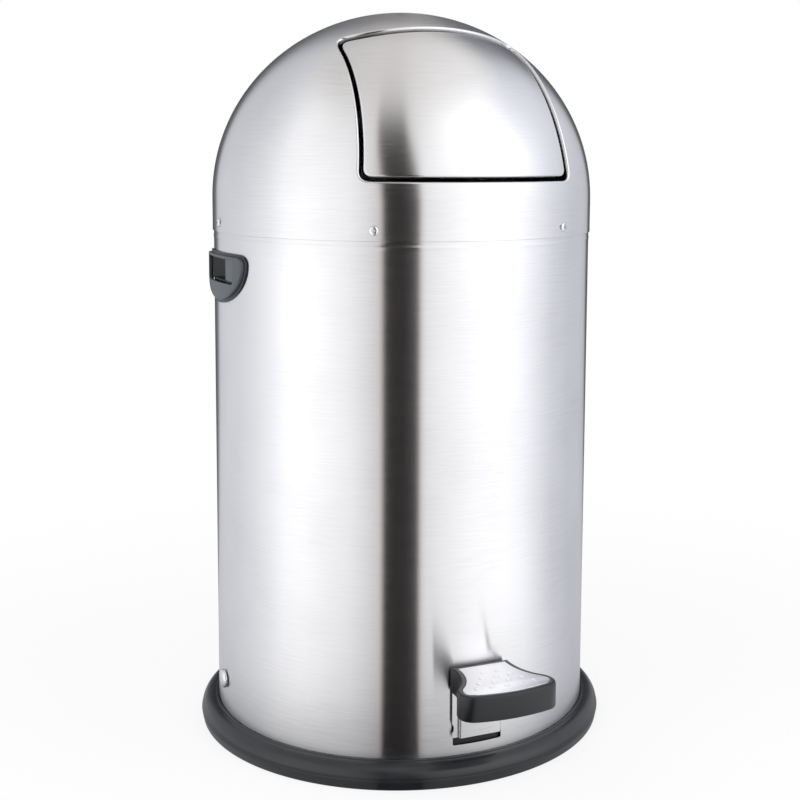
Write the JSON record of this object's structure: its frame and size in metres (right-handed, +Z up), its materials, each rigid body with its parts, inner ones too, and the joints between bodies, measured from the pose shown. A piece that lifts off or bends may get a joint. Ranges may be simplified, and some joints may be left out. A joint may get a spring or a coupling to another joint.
{
  "type": "dome top waste receptacle",
  "caption": "Round pedal bin: brushed steel drum on a moulded base ring, lift-off dome with a swing-up front flap, side grips and a removable inner bucket.",
  "frame": {"origin": "on the floor, at the middle of the footprint from the pedal pad's front to the base ring's back", "axes": "+Z up, -Y to the front with the pedal, +X to the right as seen from the front"},
  "size_m": [0.4046, 0.4628, 0.701],
  "materials": {
    "brushed_stainless": "stainless sheet, fine brushing round the drum",
    "bright_steel": "bright zinc-plated or polished small steel parts",
    "zinc_steel": "zinc-plated mechanism strip and wire",
    "galvanised": "galvanised sheet, dull",
    "grey_plastic": "charcoal grey moulded polypropylene, fine texture",
    "black_plastic": "near-black moulded plastic, fine texture",
    "white_plastic": "natural nylon or acetal"
  },
  "bodies": {
    "body": {"base_ring": "grey_plastic", "base_pan": "galvanised", "body_shell": "brushed_stainless", "axle": "bright_steel", "axle_cap_left": "bright_steel", "axle_cap_right": "bright_steel", "axle_clip_left": "bright_steel", "axle_clip_right": "bright_steel", "grip_left": "grey_plastic", "grip_right": "grey_plastic", "bucket_seat": "galvanised", "seat_leg_front_right": "galvanised", "seat_leg_rear": "galvanised", "seat_leg_front_left": "galvanised", "rod_guide_lower": "white_plastic", "rod_guide_upper": "white_plastic"},
    "pedal": {"pedal_lever": "brushed_stainless", "pivot_sleeve": "white_plastic", "lifting_arm": "bright_steel", "pedal_pad": "black_plastic", "tread_plate": "bright_steel"},
    "lift_rod": {"lift_rod": "bright_steel", "rod_foot": "white_plastic", "rod_tip": "white_plastic"},
    "dome": {"dome_shell": "brushed_stainless", "dome_collar": "grey_plastic", "dome_screw_1": "bright_steel", "dome_screw_2": "bright_steel", "dome_screw_3": "bright_steel", "dome_screw_4": "bright_steel", "dome_screw_5": "bright_steel", "dome_screw_6": "bright_steel", "pivot_bracket_left": "zinc_steel", "pivot_bracket_right": "zinc_steel", "pivot_pin_left": "bright_steel", "pivot_pin_right": "bright_steel", "pin_spacer_left": "white_plastic", "pin_spacer_right": "white_plastic"},
    "flap": {"flap_shell": "brushed_stainless", "flap_arm_left": "zinc_steel", "flap_arm_right": "zinc_steel", "crank_pin": "bright_steel"},
    "bucket": {"inner_bucket": "galvanised", "bucket_ear_rear": "zinc_steel", "bucket_ear_front": "zinc_steel"},
    "bail": {"bail_handle": "zinc_steel", "bail_grip": "black_plastic"}
  },
  "joints": [
    {"name": "pedal_hinge", "type": "hinge", "parent": "body", "child": "pedal", "pos_m": [0, 0.0291, 0.054], "axis": [1, 0, 0], "range_deg": [0, 5.2]},
    {"name": "rod_slide", "type": "slide", "parent": "body", "child": "lift_rod", "axis": [0, 0, 1], "range_m": [0, 0.0111]},
    {"name": "dome_lift", "type": "slide", "parent": "body", "child": "dome", "axis": [0, 0, 1], "range_m": [0, 0.45]},
    {"name": "flap_hinge", "type": "hinge", "parent": "dome", "child": "flap", "pos_m": [0, 0.0241, 0.514], "axis": [-1, 0, 0], "range_deg": [0, 58]},
    {"name": "bucket_lift", "type": "slide", "parent": "body", "child": "bucket", "axis": [0, 0, 1], "range_m": [0, 0.414]},
    {"name": "bail_hinge", "type": "hinge", "parent": "bucket", "child": "bail", "pos_m": [0, 0.0291, 0.456], "axis": [0, 1, 0], "range_deg": [0, 209]}
  ],
  "couplings": [
    {"joint": "rod_slide", "follows": "pedal_hinge", "m_per_rad": 0.1218},
    {"joint": "flap_hinge", "follows": "pedal_hinge", "ratio": 11.15},
    {"joint": "bucket_lift", "follows": "dome_lift", "ratio": 0.92}
  ]
}
